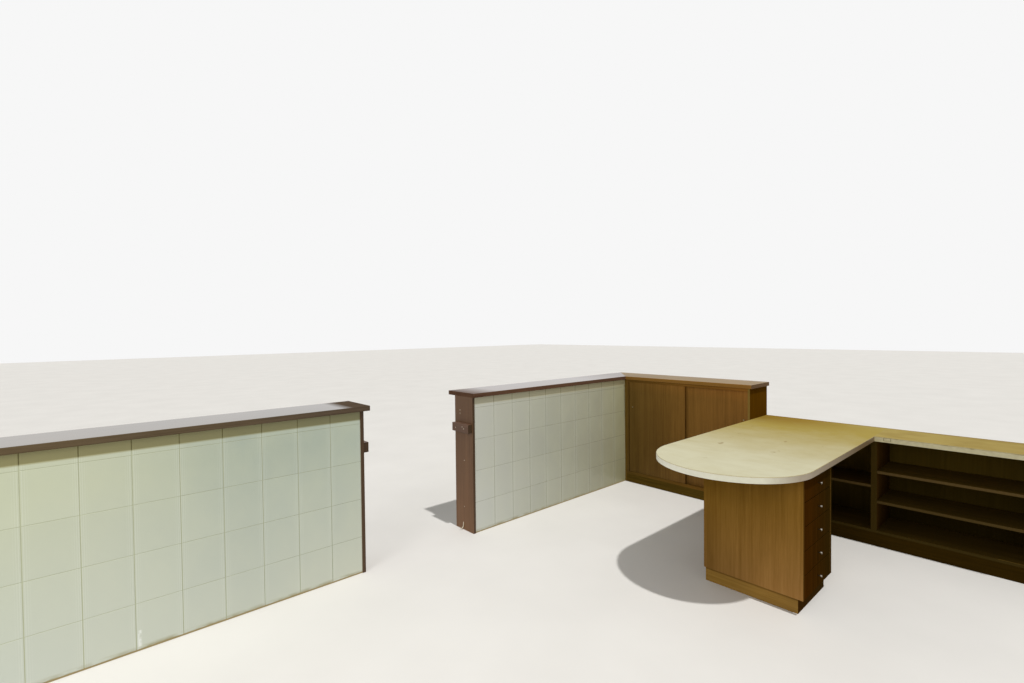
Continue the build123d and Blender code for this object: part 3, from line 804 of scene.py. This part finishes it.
def carry(path, outward, foot, head, proud):
    """An upright strip carried along a path that keeps the board on its right: at each point four corners,
    foot and head, flush with the board and proud of it, each the point plus its distance outwards."""
    path, outward = np.array(path, float), np.array(outward, float)
    foot, head = (np.broadcast_to(level, len(path)) for level in (foot, head))
    corners = [(0.0, foot), (proud, foot), (proud, head), (0.0, head)]
    rows = [np.column_stack([path + out * outward, level]) for out, level in corners]
    return np.stack(rows, axis=1), closed_tube(len(path), len(corners))


cupboard_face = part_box("cupboard_right_end")[0].x
bow_radius = (desk_high.y - desk_low.y) / 2
bow_centre = np.array((desk_low.x + bow_radius, (desk_low.y + desk_high.y) / 2))
turn = np.linspace(-math.pi / 2, -3 * math.pi / 2, bow_steps)
round_outward = np.column_stack([np.cos(turn), np.sin(turn)])
round_path = bow_centre + bow_radius * round_outward
strip_path = np.vstack([[(bench_low.x, desk_low.y)], round_path, [(cupboard_face, desk_high.y)]])
strip_outward = np.vstack([[(0.0, -1.0)], round_outward, [(0.0, 1.0)]])
strip_levels = (desk_low.z + strip_foot_gap, desk_high.z - strip_top_gap)
desk_strip = carry(strip_path, strip_outward, *strip_levels, strip_proud)
# Painted shade: the desk's strip darkens along X, away from the passage.
desk_lipping = edge_lipping(
    "desk_lipping", "X", (0.85, 1.9), tone(213, 211, 191), tone(142, 126, 92), wear=0.10
)
make_piece("desk_edge_strip", *desk_strip, "counter", [desk_lipping], slot="cream_laminate", smooth=0.4)

# Pedestal
# Sides and back of walnut print with upright grain and a dark strip down each front edge, painted
# darker towards the head as shade under the desk top and lighter towards the drawers as light falls.
# They stand on a recessed plinth painted lighter towards its back as light falls, with a painted shadow
# line along its top and its face towards the drawers painted dark as shade.
pedestal_print = wood_print(
    "pedestal_print", tone(110, 78, 30), tone(136, 101, 48), "Z", gloss=0.0,
    # Painted shade under the desk top, darkest at the head, and painted light towards the drawer end.
    drifts=[
        foot_to_head(1.30, 0.50), ("Z", 0.10, 0.60, (1.0, 1.0, 1.25), (1.0, 1.0, 0.72)),
        ("Y", -0.22, -0.76, (0.88, 0.88, 0.84), (1.27, 1.27, 1.48)),
    ],
    edges=[(to_staff, "X", 1.0, 1.3, tone(66, 42, 12), tone(30, 25, 5))],
)
plinth_print = wood_print(
    "plinth_print", tone(114, 86, 38), tone(146, 114, 60), "Y", **dull,
    # Painted light towards the back, and a painted shadow line along the top.
    drifts=[
        ("Y", -0.05, -0.70, (1.40, 1.36, 1.10), (1.06, 1.04, 1.0)),
        ("Z", 0.070, 0.075, (1.0, 1.0, 1.0), (0.62, 0.58, 0.53)),
    ],
    # Painted shade on the face towards the drawers.
    edges=[(to_staff, "X", 0.9, 1.3, tone(50, 24, 3), tone(42, 28, 8))],
)
dress(pedestal_print, "pedestal_sides", "pedestal_back")
dress(plinth_print, "pedestal_plinth")
dress(level_print, "pedestal_base", "pedestal_rails")

# Drawers
# Five flush fronts with turned knobs, painted bright where they face up and darker underneath as light
# from above falls, on a neck painted dark as shade. Behind each is a white board box on hardwood runners
# that fit the grooves ploughed in its sides.
drawer_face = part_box("drawer_1_front")[0].y
neck_reach = (drawer_face - 0.0125, drawer_face - 0.0095)  # Y: painted shade within, bright beyond
front_print = wood_print(
    "drawer_print", tone(46, 27, 2), tone(64, 40, 7), "Z", **dull,
    drifts=[("X", 0.90, 1.30, (1.20, 0.94, 0.6), (0.72, 0.90, 1.1))],
)
knob_metal, tree, shader = finish("knob_metal", roughness=0.35, Metallic=0.8)
bright = mottled(tree, figure(tree, (300.0, 300.0, 300.0)), tone(196, 190, 176), tone(228, 224, 214))
# Painted light and shade: bright where the knob faces up, dark underneath.
lit_top_shaded_underside = mix(tree, band(tree, facing(tree)["Z"], -0.1, 0.7), tone(96, 82, 60), bright)
neck = band(tree, own_place(tree)["Y"], *neck_reach)
tree.links.new(mix(tree, neck, lit_top_shaded_underside, tone(58, 44, 26)), shader.inputs["Base Color"])
white_board, tree, shader = finish("white_board", roughness=0.45)
fibre = figure(tree, (60.0, 60.0, 60.0), detail=4.0)
board_white = mottled(tree, fibre, tone(204, 200, 188), tone(222, 219, 209))
tree.links.new(board_white, shader.inputs["Base Color"])
swell(tree, shader, fibre, strength=0.12, depth=0.0003)
hardwood = wood_print("hardwood", tone(150, 112, 70), tone(190, 152, 104), "Y", 0.5)
dress(hardwood, "drawer_runners")
for number in range(1, 6):
    dress(front_print, f"drawer_{number}_front")
    dress(white_board, f"drawer_{number}_box")
    dress(knob_metal, f"drawer_{number}_knob")

# Bench
# Two shelved carcasses of dark print under one top, painted darker still as shade, the plinth most of
# all, with duller strips along the shelves and uprights. The back is painted dark at the foot and light
# at the top as light falls into the bays. The strip along the top's front is chipped, with a rectangular
# repair let into it near the desk.
# Painted shade: the shelves and uprights are printed darker as the shade in the bays.
bench_print = wood_print(
    "bench_print", tone(66, 50, 16), tone(88, 68, 26), "Y", **dull,
    edges=[(to_left, "Z", 0.12, 0.5, tone(60, 48, 20), tone(90, 72, 42))],
)
upright_print = wood_print(
    "bench_upright_print", tone(62, 40, 12), tone(82, 56, 20), "Z", **dull,
    edges=[(to_left, "Y", -0.8, -1.7, tone(60, 48, 18), tone(54, 42, 15))],
)
# Painted light and shade: the back is dark at the foot and lit at the top of the bays.
bench_back_print = wood_print(
    "bench_back_print", tone(92, 74, 24), tone(108, 87, 32), "Z", **dull, drifts=[foot_to_head(0.10, 1.30)]
)
# Painted shade: the plinth is darker still.
bench_plinth_print = wood_print("bench_plinth_print", tone(44, 31, 5), tone(60, 43, 10), "Y", **dull)
bench_laminate = worn_laminate(
    "bench_laminate", "Y", (-0.8, -1.9), tone(164, 145, 84), tone(156, 136, 78), grime=0.28
)
dress(bench_print, "bench_base", "bench_desk_shelves", "bench_open_shelves")
dress(upright_print, "bench_ends", "bench_upright")
dress(bench_back_print, "bench_back")
dress(bench_plinth_print, "bench_plinth")
dress(bench_laminate, "bench_top")

bench_strip_points = 241
raggedness = 0.0005
bites = (  # distance from the desk, half width and depth
    (0.13, 0.008, 0.006), (0.39, 0.016, 0.004), (0.52, 0.010, 0.007), (0.74, 0.03, 0.004),
)
run = np.linspace(0.0, bench_high.y - bench_low.y, bench_strip_points)
# Each bite falls off from its depth as e to the minus fourth power of the distance over its half width.
chips = sum(depth * np.exp(-(((run - place) / half) ** 4)) for place, half, depth in bites)
ragged = (chips + raggedness * np.abs(chance.normal(size=bench_strip_points)))[::-1]
bench_path = np.column_stack([np.full(bench_strip_points, bench_low.x), bench_low.y + run])
bench_outward = np.tile((-1.0, 0.0), (bench_strip_points, 1))
bench_levels = (bench_low.z + strip_foot_gap, bench_high.z - strip_top_gap - ragged)
bench_strip = carry(bench_path, bench_outward, *bench_levels, strip_proud)
repair = (("Y", bench_high.y - 0.075, 0.020), ("Z", bench_high.z - 0.014, 0.010))  # centre, half size
bench_lipping = edge_lipping(
    "bench_lipping", "Y", (-0.8, -1.9), tone(202, 193, 154), tone(194, 187, 152), wear=0.35, patch=repair
)
make_piece("bench_edge_strip", *bench_strip, "counter", [bench_lipping], slot="cream_laminate")
